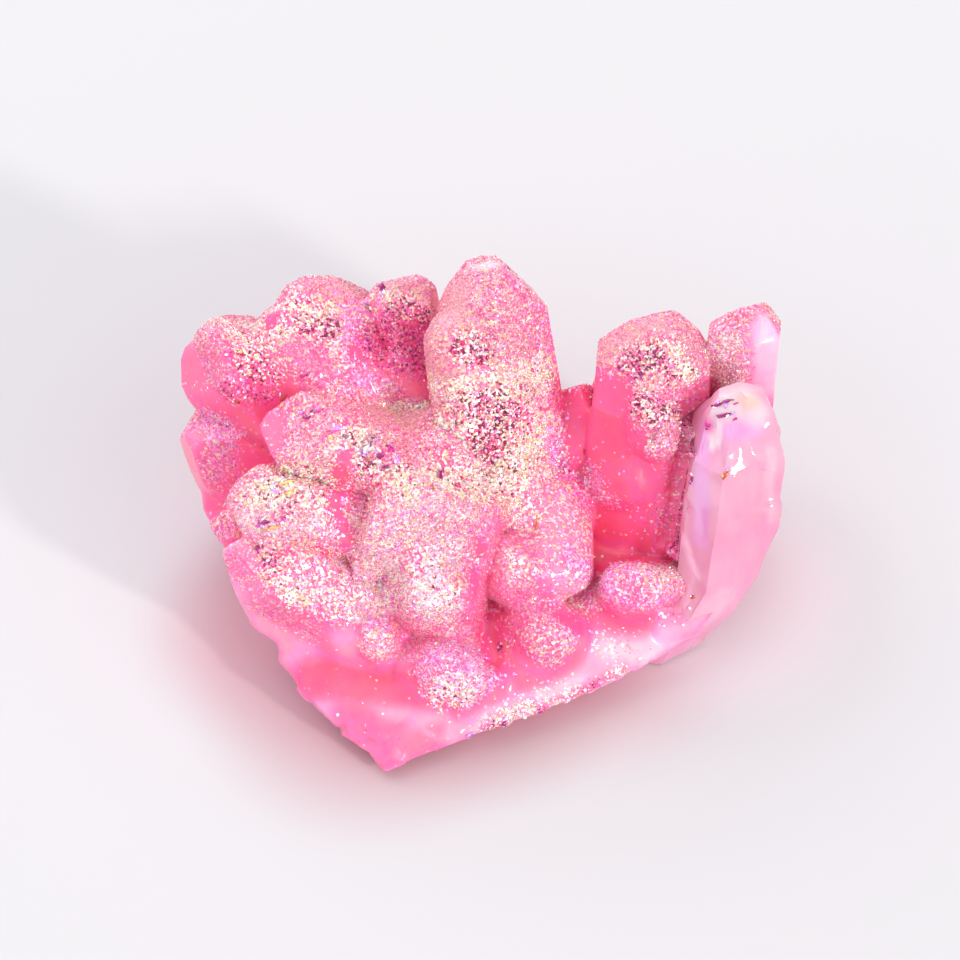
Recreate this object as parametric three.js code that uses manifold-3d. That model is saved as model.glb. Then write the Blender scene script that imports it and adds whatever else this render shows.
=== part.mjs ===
// A rose aura quartz cluster: stubby quartz crystals grown together on a broken matrix plate.
// It is one piece, so the crystals and the plate are joined into one closed solid.
// Millimetres, +Z up. The origin is under the middle of the cluster, on the surface it rests on.
import * as THREE from "three";
import { ConvexGeometry } from "three/addons/geometries/ConvexGeometry.js";
import { mergeVertices } from "three/addons/utils/BufferGeometryUtils.js";
import Module from "manifold-3d";

const wasm = await Module();
wasm.setup();

// ---------- driving dimensions ----------

const RHOMB_TILT = THREE.MathUtils.degToRad(51.8); // from a crystal's long axis to its tip faces' normals
const TAPER = THREE.MathUtils.degToRad(2.5); // how the sides of a crystal close towards its tip
const SIDE_SPREAD = 0.12; // how unevenly a crystal's sides stand off its axis, as a share of its half width
const TIP_SPREAD = 0.03; // how unevenly the tip faces stand off, in crystal widths
const BLUNT = 0.08; // how far a point is cut back where nothing else is said, in crystal half widths

// How far the six tip faces stand off the tip, in crystal widths: the lowest lead.
const THREE_LEAD = [0.14, 0, 0.14, 0, 0.14, 0];
const OTHER_THREE_LEAD = [0, 0.14, 0, 0.14, 0, 0.14];
const RIDGE_ACROSS = [0.14, 0, 0.14, 0.14, 0, 0.14];
const RIDGE_ALONG = [0, 0.14, 0.14, 0, 0.14, 0.14];
const LEFT_EDGE = [0.08, 0, 0.14, 0.12, 0.14, 0];

const SKIRT_COUNT = 16; // small crystals low round the back
const SKIRT_MIDDLE = [-1, 4]; // x and y of the middle of the curve that they stand on
const SKIRT_REACH = [27, 13]; // how far that curve lies from its middle, along x and y
const SKIRT_WIDTH = [3.5, 6.5]; // the thinnest and the thickest of them
const SKIRT_HEIGHT = [3, 9]; // the lowest and the highest of their tips
const SKIRT_SEED = 41;

const REST_TRIM = 60; // size of the block that cuts the underside flat at z = 0

// ---------- numbers that are uneven in the same way on every run ----------

function unevenNumbers(seed) {
  let state = seed >>> 0;
  return () => {
    state = (state + 0x6d2b79f5) >>> 0;
    let t = Math.imul(state ^ (state >>> 15), 1 | state);
    t = (t + Math.imul(t ^ (t >>> 7), 61 | t)) ^ t;
    return ((t ^ (t >>> 14)) >>> 0) / 4294967296;
  };
}

// ---------- shapes ----------

// Where three planes meet, or null where two of them are nearly parallel.
function meeting(a, b, c) {
  const bc = new THREE.Vector3().crossVectors(b.normal, c.normal);
  const det = a.normal.dot(bc);
  if (Math.abs(det) < 1e-3) return null;
  const ca = new THREE.Vector3().crossVectors(c.normal, a.normal);
  const ab = new THREE.Vector3().crossVectors(a.normal, b.normal);
  return bc
    .multiplyScalar(-a.constant)
    .addScaledVector(ca, -b.constant)
    .addScaledVector(ab, -c.constant)
    .divideScalar(det);
}

// The corners of the convex body behind all of the planes.
function cornersBehind(planes) {
  const corners = [];
  for (let i = 0; i < planes.length; i++)
    for (let j = i + 1; j < planes.length; j++)
      for (let k = j + 1; k < planes.length; k++) {
        const p = meeting(planes[i], planes[j], planes[k]);
        if (!p) continue;
        if (planes.some((plane) => plane.distanceToPoint(p) > 1e-4)) continue;
        if (corners.some((q) => q.distanceTo(p) < 0.02)) continue;
        corners.push(p);
      }
  return corners;
}

function planeThrough(point, normal) {
  return new THREE.Plane().setFromNormalAndCoplanarPoint(normal, point);
}

// The direction that leans away from the axis towards out by the angle.
function leaning(out, axis, angle) {
  return out.clone().multiplyScalar(Math.sin(angle)).addScaledVector(axis, Math.cos(angle));
}

function solidFrom(geometry) {
  const bare = geometry.index ? geometry.toNonIndexed() : geometry.clone();
  bare.deleteAttribute("normal");
  bare.deleteAttribute("uv");
  const merged = mergeVertices(bare, 1e-4);
  return new wasm.Manifold(
    new wasm.Mesh({
      numProp: 3,
      vertProperties: merged.attributes.position.array,
      triVerts: new Uint32Array(merged.index.array),
    }),
  );
}

// A hexagonal quartz crystal: six sides that close slightly, and six tip faces of which some lead.
// roll turns it about its axis in degrees, blunt cuts its point back by that many half widths, and
// standOff places each tip face. Side 0 is level and to the left of an axis that leans back; the
// rest follow round every 60 degrees.
function crystal({ tip, foot, width, roll = 0, blunt = BLUNT, standOff = THREE_LEAD }, index) {
  const uneven = unevenNumbers(index * 7919 + 7932);
  const point = new THREE.Vector3(...tip);
  const root = new THREE.Vector3(...foot);
  const axis = point.clone().sub(root).normalize();
  const middle = point.clone().lerp(root, 0.5);
  const level = new THREE.Vector3(0, 0, 1).cross(axis).normalize();
  const first = level.applyAxisAngle(axis, THREE.MathUtils.degToRad(roll));
  const planes = [
    planeThrough(root, axis.clone().negate()),
    planeThrough(point.clone().addScaledVector(axis, (-blunt * width) / 2), axis),
  ];
  for (let side = 0; side < 6; side++) {
    const out = first.clone().applyAxisAngle(axis, (side * Math.PI) / 3);
    const reach = (width / 2) * (1 + SIDE_SPREAD * (2 * uneven() - 1));
    const sideNormal = leaning(out, axis, Math.PI / 2 - TAPER);
    planes.push(planeThrough(middle.clone().addScaledVector(out, reach), sideNormal));
    const tipNormal = leaning(out, axis, RHOMB_TILT);
    const off = width * (standOff[side] + TIP_SPREAD * uneven());
    planes.push(planeThrough(point.clone().addScaledVector(tipNormal, off), tipNormal));
  }
  return solidFrom(new ConvexGeometry(cornersBehind(planes)));
}

// A broken lump of matrix: the convex body round hand-placed corners.
function lump(corners) {
  return solidFrom(new ConvexGeometry(corners.map((corner) => new THREE.Vector3(...corner))));
}

// The outer skin of a solid's mesh. Gaps sealed in between crystals are left filled.
function outerSkin({ vertProperties, triVerts, numProp }) {
  const leader = Array.from({ length: vertProperties.length / numProp }, (_, i) => i);
  const leaderOf = (i) => {
    while (leader[i] !== i) i = leader[i] = leader[leader[i]];
    return i;
  };
  for (let t = 0; t < triVerts.length; t += 3) {
    leader[leaderOf(triVerts[t])] = leaderOf(triVerts[t + 1]);
    leader[leaderOf(triVerts[t])] = leaderOf(triVerts[t + 2]);
  }
  const corner = (i) => vertProperties.subarray(i * numProp, i * numProp + 3);
  const lowest = leader.reduce((best, _, i) => (corner(i)[2] < corner(best)[2] ? i : best), 0);
  const outer = leaderOf(lowest);
  const places = [];
  for (const vertex of triVerts) if (leaderOf(vertex) === outer) places.push(...corner(vertex));
  const skin = new THREE.BufferGeometry();
  skin.setAttribute("position", new THREE.Float32BufferAttribute(places, 3));
  skin.computeVertexNormals();
  return skin;
}

// ---------- the matrix ----------

// The broken plate, which comes to a corner at the front left and lifts off the table on the right.
const plate = lump([
  [-8, -24, 0],
  [8, -18, 0],
  [18, -8, 0],
  [18, 5, 0],
  [2, 12, 0],
  [-17, 9, 0],
  [-20, -8, 0],
  [-15, -19, 0],
  [-9.3, -28, 1],
  [1.5, -23.8, 2],
  [14, -18.3, 3],
  [22, -14, 5],
  [26.3, -10, 7.5],
  [27, -7, 9],
  [24, 6, 8],
  [3, 15, 6],
  [-20, 12, 7],
  [-24, -4, 7],
  [-18, -20.5, 4],
  [-8, -25, 4.5],
  [8, -18, 6],
  [20, -10, 8],
]);

// The mass of grown-together quartz under the crystals.
const heart = lump([
  [-18, -10, 4],
  [12, -12, 4],
  [16, 6, 4],
  [-18, 10, 4],
  [-14, -6, 12],
  [2, -9, 13],
  [8, -2, 14],
  [4, 9, 14],
  [-14, 8, 14],
]);

// ---------- the crystals ----------

const upperLeft = [
  // tallest
  { tip: [0.5, 11.3, 33], foot: [4.5, -3, 4], width: 10.6, blunt: 0.3, standOff: RIDGE_ALONG },
  // slim neighbour
  { tip: [-8.2, 12.9, 28.4], foot: [-5, 3, 8], width: 7.2, roll: 30, blunt: 0.25, standOff: RIDGE_ACROSS },
  // broad ridge
  { tip: [-18.5, 12.4, 27.4], foot: [-9.5, 3, 6], width: 13, roll: 24, blunt: 0.2, standOff: RIDGE_ACROSS },
  // outermost
  { tip: [-28.3, 10.4, 23.8], foot: [-12, 2, 6], width: 10.8, blunt: 0.25, standOff: OTHER_THREE_LEAD },
  // under it
  { tip: [-30.7, 6.2, 15], foot: [-12, 0, 5], width: 10, roll: 30, blunt: 0.35 },
  // lowest
  { tip: [-29.2, 1.8, 8.6], foot: [-12, -1, 3], width: 8.5, roll: 10, blunt: 0.35 },
];

const lowerLeft = [
  // crest
  { tip: [-21.6, -0.2, 21.3], foot: [8, -3, 7], width: 11 },
  // below the crest
  { tip: [-25.2, -6.5, 17.5], foot: [-4, -6, 8], width: 9 },
  // thick one facing forward
  { tip: [-8, -8.8, 21.6], foot: [-3, -1, 2], width: 15.5, roll: 15, blunt: 0.35 },
  // lowest and broad
  { tip: [-25.3, -10, 13.6], foot: [-6, -14, 2], width: 10.3 },
  // small, at the rim
  { tip: [-26.8, -6.3, 13.2], foot: [-20, -6, 10], width: 4 },
  // broken stub on the crest
  { tip: [-9.6, -4.8, 23], foot: [-8, -2, 15], width: 3.2 },
];

const rightGroup = [
  // broad and tall
  { tip: [16.6, 6.8, 29], foot: [16, 0, 4], width: 12, blunt: 0.15, standOff: LEFT_EDGE },
  // far corner
  { tip: [26.2, 8.3, 28.6], foot: [24.6, 3, 4], width: 8, roll: 10, blunt: 0.1, standOff: LEFT_EDGE },
  // glassy, at the near corner
  { tip: [25, -0.2, 25.6], foot: [23, -6, 9], width: 9.4, roll: 20, blunt: 0.3 },
  // between them
  { tip: [17.9, 1.2, 23.6], foot: [17.3, -4, 6], width: 6.8, blunt: 0.15 },
  // low, in the valley
  { tip: [14, -1.3, 13], foot: [13, 0, 3], width: 7 },
  // low, pointing right
  { tip: [20.5, -11, 9.5], foot: [10, -10, 3], width: 7.5, blunt: 0.4 },
  // behind the valley
  { tip: [9.8, 5.2, 20.6], foot: [9.4, 1, 5], width: 8 },
];

const front = [
  // long flank beside the valley
  { tip: [8, -14.5, 10.5], foot: [7.5, 0, 11], width: 6.5, blunt: 0.4 },
  // upper knob
  { tip: [-4.9, -16, 15.6], foot: [-3, -6, 2], width: 9.6, blunt: 0.4 },
  // upper right knob
  { tip: [3.5, -13.8, 14.6], foot: [4, -5, 3], width: 7.4, blunt: 0.4 },
  // lower right knob
  { tip: [6.8, -18.8, 10], foot: [6, -10, 1], width: 8, blunt: 0.5 },
  // lower knob
  { tip: [-3, -24, 8], foot: [-3, -14, 1], width: 10.5, blunt: 0.5 },
  // small knob
  { tip: [-10.2, -18.6, 10], foot: [-9, -12, 0], width: 5.8, blunt: 0.4 },
  // stub at the left edge
  { tip: [-20, -17, 4.5], foot: [-12, -13, 3], width: 5 },
];

const back = [
  // behind the tallest
  { tip: [3, 19.5, 18], foot: [3, 6, 5], width: 9.5, blunt: 0.2 },
  // behind the slim one
  { tip: [-8, 20.5, 14], foot: [-6, 6, 4], width: 9, blunt: 0.2 },
  // behind the broad ridge
  { tip: [-19, 18.5, 16], foot: [-12, 5, 4], width: 9, blunt: 0.2 },
  // behind the outermost
  { tip: [-24.5, 14.5, 11], foot: [-14, 4, 3], width: 7.5, blunt: 0.2 },
  // behind the broad and tall one
  { tip: [16, 13.5, 17], foot: [15, 4, 4], width: 7.5, blunt: 0.2 },
  // behind the far corner
  { tip: [24, 12.5, 13], foot: [20, 4, 4], width: 7.5, blunt: 0.2 },
];

// Small crystals that point outwards, low round the back and the two ends.
function skirt() {
  const uneven = unevenNumbers(SKIRT_SEED);
  const between = ([low, high]) => low + (high - low) * uneven();
  return Array.from({ length: SKIRT_COUNT }, (_, i) => {
    const angle = Math.PI * ((i + 0.2 + 0.6 * uneven()) / SKIRT_COUNT);
    const tip = [
      SKIRT_MIDDLE[0] + SKIRT_REACH[0] * Math.cos(angle),
      SKIRT_MIDDLE[1] + SKIRT_REACH[1] * Math.sin(angle),
      between(SKIRT_HEIGHT),
    ];
    const foot = [SKIRT_MIDDLE[0] + (tip[0] - SKIRT_MIDDLE[0]) * 0.6, SKIRT_MIDDLE[1], 2];
    return { tip, foot, width: between(SKIRT_WIDTH), roll: 60 * uneven(), blunt: 0.3 * uneven() };
  });
}

// ---------- the cluster ----------

const crystals = [...upperLeft, ...lowerLeft, ...rightGroup, ...front, ...back, ...skirt()].map(crystal);
const grownTogether = [plate, heart, ...crystals].reduce((whole, piece) => whole.add(piece));

const restBlock = solidFrom(
  new THREE.BoxGeometry(2 * REST_TRIM, 2 * REST_TRIM, REST_TRIM).translate(0, 0, -REST_TRIM / 2),
);
const geometry = outerSkin(grownTogether.subtract(restBlock).getMesh());

// The origin goes under the middle of the cluster.
geometry.computeBoundingBox();
const middle = geometry.boundingBox.getCenter(new THREE.Vector3());
geometry.translate(-middle.x, -middle.y, 0);

const rosyQuartz = new THREE.MeshStandardMaterial({ color: 0xf76aa5, roughness: 0.35, metalness: 0 });
const quartzCluster = new THREE.Mesh(geometry, rosyQuartz);
quartzCluster.name = "quartz_cluster";

const group = new THREE.Group();
group.add(quartzCluster);
export default group;
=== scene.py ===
"""Rose aura quartz: blunt pink crystals grown together and dusted with fine, glittering druse.

The body is the CAD solid with a finer skin: the same facets in small triangles, rounded where the stone
looks melted and roughened where it is drusy. The druse is many thousands of tiny three-sided crystal tips
that sit in that skin. Finishes are laid on in strokes, each through the points of the surface that the
camera sees at a few named pixels.
"""

import math

import bpy
import numpy as np
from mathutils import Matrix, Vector
from mathutils.bvhtree import BVHTree
from mathutils.geometry import delaunay_2d_cdt


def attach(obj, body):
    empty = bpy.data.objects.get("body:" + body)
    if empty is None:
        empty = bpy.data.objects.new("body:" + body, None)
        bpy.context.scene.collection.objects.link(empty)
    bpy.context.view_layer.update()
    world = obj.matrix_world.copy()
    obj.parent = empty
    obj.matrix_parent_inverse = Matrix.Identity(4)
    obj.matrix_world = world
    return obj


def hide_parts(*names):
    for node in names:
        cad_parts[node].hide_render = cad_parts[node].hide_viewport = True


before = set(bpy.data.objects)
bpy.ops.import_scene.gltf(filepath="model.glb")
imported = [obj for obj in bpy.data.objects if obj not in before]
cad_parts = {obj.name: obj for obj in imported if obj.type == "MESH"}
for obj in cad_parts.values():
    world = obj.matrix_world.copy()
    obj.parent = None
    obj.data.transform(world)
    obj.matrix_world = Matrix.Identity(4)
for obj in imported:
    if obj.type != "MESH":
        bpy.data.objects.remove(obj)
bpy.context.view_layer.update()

BODY = "root"
NODE = "quartz_cluster"
MM = 0.001

# The camera, in millimetres, degrees and pixels of the picture.
PICTURE = 960
TARGET = np.array([0.489, 3.617, 12.0])
PITCH = 50.0
DISTANCE = 300.0
FOCAL = 3000.0
SENSOR = 36.0

# The skin: spacing of its points, and of those of the flat cut below, in millimetres. Points within a facet
# stray by that share of the spacing, and stay clear of its outline by the other.
STEP = 0.36
CUT_STEP = 2.0
STRAY = 0.12
CLEAR = 0.62
# A direction that no facet faces, the cosine past which a facet is the flat cut, and the least double area
# of a triangle in mm2.
SLANT = (0.31, 0.52, 0.8)
CUT_FACES = -0.99
LEAST_AREA = 1e-8
# Triangles of one flat facet: the least cosine between them, and the most that one rises over the other in
# mm.
FLAT_COSINE = 0.99999
FLAT_RISE = 0.002

rng = np.random.default_rng(7)


# ---------------------------------------------------------------- finishes

# cover: share of the skin that druse hides; grain: its size in mm; dust: its tone, 0 dark wine, 0.2 hot
# pink, 0.4 rose, 0.6 pink, 0.75 beige, 0.85 gold, 1 white, the dark end partly painted shade and the gold
# and white end partly painted glints; spread: how far a grain's tone strays; lilac: share of grains with a
# painted lilac sheen; relief: height of the waves in mm; deep, pale, gloss: how the stone below looks, gloss
# also setting how much painted sheen it shows.
LOOKS = ("cover", "grain", "dust", "spread", "lilac", "relief", "deep", "pale", "gloss")
FINISHES = {
    "satin": (0.02, 0.18, 0.60, 0.30, 0.50, 0.03, 0.65, 0.10, 0.3),
    "milky": (0.01, 0.16, 0.75, 0.20, 0.50, 0.04, 0.00, 0.80, 0.3),
    "ice": (0.22, 0.18, 0.90, 0.25, 0.50, 0.05, 0.00, 1.50, 0.3),
    "veil": (0.40, 0.18, 0.74, 0.35, 0.35, 0.04, 0.00, 0.60, 0.1),
    "deep": (0.03, 0.18, 0.60, 0.32, 0.50, 0.04, 1.00, 0.00, 0.2),
    "hot": (0.65, 0.20, 0.40, 0.55, 0.30, 0.06, 0.60, 0.00, 0.0),
    "sugar": (0.60, 0.20, 0.58, 0.26, 0.12, 0.06, 0.20, 0.20, 0.1),
    "beige": (1.00, 0.20, 0.69, 0.14, 0.03, 0.05, 0.20, 0.20, 0.0),
    "rose": (0.90, 0.24, 0.64, 0.38, 0.18, 0.08, 0.35, 0.10, 0.0),
    "frost": (1.00, 0.22, 0.73, 0.37, 0.38, 0.05, 0.20, 0.20, 0.0),
    "gold": (1.00, 0.40, 0.85, 0.47, 0.02, 0.12, 0.30, 0.00, 0.0),
    "snow": (1.00, 0.34, 0.86, 0.45, 0.45, 0.10, 0.30, 0.00, 0.0),
    "speckle": (1.00, 0.42, 0.62, 0.70, 0.08, 0.14, 0.80, 0.00, 0.0),
    "lilac": (0.85, 0.24, 0.62, 0.32, 0.70, 0.08, 0.50, 0.00, 0.1),
    "glass": (0.00, 0.16, 0.70, 0.10, 0.30, 0.01, 0.00, 1.30, 0.4),
}

# soft: how rounded the edges are; fill: how far the creases are filled; swell: how far the skin stands out
# in mm; broken: height of the flat lumps of a broken face in mm.
SHAPES = ("soft", "fill", "swell", "broken")
FORMS = {
    "filled": {"fill": 1.0},
    "melted": {"soft": 0.8, "fill": 1.0},
    "rounded": {"soft": 0.8},
    "crisp": {"soft": 0.0, "fill": 0.1},
    "raised": {"swell": 0.9},
    "bulged": {"swell": 2.4},
    "sunk": {"swell": -1.0},
}
FIELDS = LOOKS + SHAPES


def column(name):
    return FIELDS.index(name)


# ---------------------------------------------------------------- nodes


def linear(colour):
    """A screen colour, 0 to 255, as light."""
    parts = [c / 255 for c in colour]
    return tuple(c / 12.92 if c <= 0.04045 else ((c + 0.055) / 1.055) ** 2.4 for c in parts) + (1.0,)


class Nodes:
    """The nodes of a material or a world, added one by one."""

    def __init__(self, owner, shader="Principled BSDF"):
        owner.use_nodes = True
        self.tree = owner.node_tree
        self.shader = self.tree.nodes[shader]

    def add(self, kind, **settings):
        """A new node. Settings that begin with in_ are its inputs, by name or by number."""
        node = self.tree.nodes.new(kind)
        for key, value in settings.items():
            if key.startswith("in_"):
                key = key[3:]
                socket = node.inputs[int(key) if key.isdigit() else key.replace("_", " ")]
                if isinstance(value, bpy.types.NodeSocket):
                    self.tree.links.new(value, socket)
                else:
                    socket.default_value = value
            else:
                setattr(node, key, value)
        return node

    def ramp(self, value, stops, steps="LINEAR"):
        """A colour ramp over (place, screen colour) stops."""
        node = self.add("ShaderNodeValToRGB", in_0=value)
        band = node.color_ramp
        band.interpolation = steps
        while len(band.elements) < len(stops):
            band.elements.new(0.5)
        for element, (place, colour) in zip(band.elements, stops):
            element.position = place
            element.color = linear(colour)
        return node.outputs["Color"]

    def field(self, name):
        return self.add("ShaderNodeAttribute", attribute_name=name).outputs["Fac"]

    def place(self):
        return self.add("ShaderNodeTexCoord").outputs["Object"]

    def noise(self, scale, detail=3.0):
        """Noise whose bumps are that many to the metre."""
        node = self.add("ShaderNodeTexNoise", in_Vector=self.place(), in_Scale=scale, in_Detail=detail)
        return node.outputs["Fac"]

    def sum(self, first, second, factor=1.0, clamp=False):
        """The first value, plus the second times the factor."""
        return self.add(
            "ShaderNodeMath", operation="MULTIPLY_ADD", use_clamp=clamp, in_0=second, in_1=factor, in_2=first
        ).outputs[0]

    def below(self, value, limit):
        """1 where the value is below the limit, and 0 elsewhere."""
        return self.add("ShaderNodeMath", operation="LESS_THAN", in_0=value, in_1=limit).outputs[0]

    def vector(self, operation, first, second=(0, 0, 0), **settings):
        return self.add("ShaderNodeVectorMath", operation=operation, in_0=first, in_1=second, **settings)

    def fade(self, value, start, end, peak=1.0):
        """From 0 where the value is at the start up to the peak at the end."""
        node = self.add("ShaderNodeMapRange", interpolation_type="SMOOTHSTEP", in_0=value, in_1=start)
        node.inputs["From Max"].default_value = end
        node.inputs["To Max"].default_value = peak
        return node.outputs["Result"]

    def mix(self, share, first, second, blend="MIX"):
        """The first colour, and by that share the second."""
        return self.add(
            "ShaderNodeMix", data_type="RGBA", blend_type=blend, in_0=share, in_6=first, in_7=second
        ).outputs[2]

    def sheen(self, facing, strength):
        """Painted sheen: pastel bands of a thin coating's iridescence, which change with the way a facet
        faces.
        """
        way = self.vector("DOT_PRODUCT", facing, SHEEN_WAY).outputs["Value"]
        band = self.sum(way, self.noise(220.0, 2.0), strength)
        return self.ramp(self.add("ShaderNodeMath", operation="FRACT", in_0=band).outputs[0], SHEEN_TONES)

    def set(self, **sockets):
        """Sets or links the shader's inputs."""
        for key, value in sockets.items():
            socket = self.shader.inputs[key.replace("_", " ")]
            if isinstance(value, bpy.types.NodeSocket):
                self.tree.links.new(value, socket)
            else:
                socket.default_value = value


# ---------------------------------------------------------------- camera and light


def pixel_ray(u, v):
    """Direction of the line of sight through a pixel."""
    pitch = math.radians(PITCH)
    forward = np.array([0, math.cos(pitch), -math.sin(pitch)])
    up = np.array([0, math.sin(pitch), math.cos(pitch)])
    right = np.array([1.0, 0, 0])
    half = PICTURE / 2
    way = forward + right * (u - half) / FOCAL + up * (half - v) / FOCAL
    return way / np.linalg.norm(way)


def camera_place():
    return TARGET - DISTANCE * pixel_ray(PICTURE / 2, PICTURE / 2)


def add_camera():
    data = bpy.data.cameras.new("camera")
    data.sensor_width = SENSOR
    data.lens = FOCAL / PICTURE * SENSOR
    data.clip_start = 0.01
    camera = bpy.data.objects.new("camera", data)
    camera.location = Vector(camera_place() * MM)
    camera.rotation_euler = (math.radians(90 - PITCH), 0, 0)
    bpy.context.scene.collection.objects.link(camera)
    bpy.context.scene.camera = camera


# The key light: where it comes from, strength, width in degrees and colour.
KEY_WAY = (0.80, -0.60, 0.40)
KEY_STRENGTH = 1.5
KEY_WIDTH = 5
KEY_COLOUR = (1.0, 0.97, 0.93)
# The studio round it, and its soft bright patches: direction, cosine where each fades out, and strength.
STUDIO = 0.555
STUDIO_COLOUR = (0.97, 0.95, 1.0, 1)
PATCHES = (
    ((-0.40, 0.62, 0.68), 0.60, 2.2),
    ((0.70, -0.50, 0.50), 0.75, 1.1),
    ((-0.80, -0.50, 0.35), 0.75, 1.2),
    ((-0.10, -0.85, 0.30), 0.65, 0.5),
)


def add_light():
    sun = bpy.data.lights.new("key", "SUN")
    sun.energy = KEY_STRENGTH
    sun.angle = math.radians(KEY_WIDTH)
    sun.color = KEY_COLOUR
    lamp = bpy.data.objects.new("key", sun)
    lamp.rotation_euler = Vector(KEY_WAY).to_track_quat("Z", "Y").to_euler()
    bpy.context.scene.collection.objects.link(lamp)
    world = bpy.data.worlds.new("studio")
    nodes = Nodes(world, "Background")
    way = nodes.add("ShaderNodeTexCoord").outputs["Generated"]
    strength = STUDIO
    for direction, fade, peak in PATCHES:
        cosine = nodes.vector("DOT_PRODUCT", way, Vector(direction).normalized()).outputs["Value"]
        strength = nodes.sum(strength, nodes.fade(cosine, fade, 1.0, peak))
    nodes.set(Color=STUDIO_COLOUR, Strength=strength)
    bpy.context.scene.world = world
    bpy.context.scene.view_settings.view_transform = "Standard"


# The floor: half its side in metres, colour and roughness.
FLOOR_HALF = 2.0
FLOOR = (0.60, 0.60, 0.60, 1)
FLOOR_ROUGH = 0.7
# Painted pink light and shade that the stone throws on the floor: place and reach in mm, and the floor's
# colour there, which is full within the core's share of the reach.
PAINTED_GLOW_CORE = 0.3
PAINTED_GLOWS = (
    (12.0, -8.0, 18.0, (0.64, 0.49, 0.51, 1)),
    (25.0, -3.0, 17.0, (0.76, 0.69, 0.71, 1)),
    (0.0, -12.0, 18.0, (0.53, 0.34, 0.36, 1)),
    (-10.0, -14.0, 20.0, (0.54, 0.36, 0.39, 1)),
    (-19.0, -6.0, 17.0, (0.54, 0.37, 0.40, 1)),
)


def add_floor():
    mesh = bpy.data.meshes.new("floor")
    far = FLOOR_HALF
    mesh.from_pydata([(-far, -far, 0), (far, -far, 0), (far, far, 0), (-far, far, 0)], [], [(0, 1, 2, 3)])
    floor = bpy.data.objects.new("floor", mesh)
    bpy.context.scene.collection.objects.link(floor)
    material = bpy.data.materials.new("floor")
    nodes = Nodes(material)
    place = nodes.place()
    colour = FLOOR
    # painted pink light and shade round the stone's foot
    for x, y, reach, glow in PAINTED_GLOWS:
        apart = nodes.vector("DISTANCE", place, (x * MM, y * MM, 0)).outputs["Value"]
        colour = nodes.mix(nodes.fade(apart, reach * MM, PAINTED_GLOW_CORE * reach * MM), colour, glow)
    nodes.set(Base_Color=colour, Roughness=FLOOR_ROUGH)
    mesh.materials.append(material)


# ---------------------------------------------------------------- the skin


def cad_solid():
    """The CAD node's corners, in millimetres, and its triangles."""
    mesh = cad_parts[NODE].data
    mesh.calc_loop_triangles()
    places = np.zeros(len(mesh.vertices) * 3)
    mesh.vertices.foreach_get("co", places)
    places = places.reshape(-1, 3) / MM
    triangles = np.zeros(len(mesh.loop_triangles) * 3, int)
    mesh.loop_triangles.foreach_get("vertices", triangles)
    _, first, same = np.unique(np.round(places, 4), axis=0, return_index=True, return_inverse=True)
    return places[first], same.ravel()[triangles].reshape(-1, 3)


def normals_of(points, triangles):
    """Each triangle's normal, as long as twice its area."""
    a, b, c = (points[triangles[:, k]] for k in range(3))
    return np.cross(b - a, c - a)


def unit(vectors):
    return vectors / np.maximum(np.linalg.norm(vectors, axis=1, keepdims=True), 1e-12)


def flat_facets(corners, triangles):
    """The triangles' numbers, grouped into flat facets."""
    normals = unit(normals_of(corners, triangles))
    sharing = {}
    for number, corner in enumerate(triangles):
        for k in range(3):
            side = frozenset((corner[k], corner[k - 1]))
            sharing.setdefault(side, []).append(number)
    leader = list(range(len(triangles)))

    def head(number):
        while leader[number] != number:
            leader[number] = leader[leader[number]]
            number = leader[number]
        return number

    for one, other in sharing.values():
        rise = np.abs((corners[triangles[other]] - corners[triangles[one][0]]) @ normals[one]).max()
        if normals[one] @ normals[other] > FLAT_COSINE and rise < FLAT_RISE:
            leader[head(one)] = head(other)
    groups = {}
    for number in range(len(triangles)):
        groups.setdefault(head(number), []).append(number)
    return list(groups.values())


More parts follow.
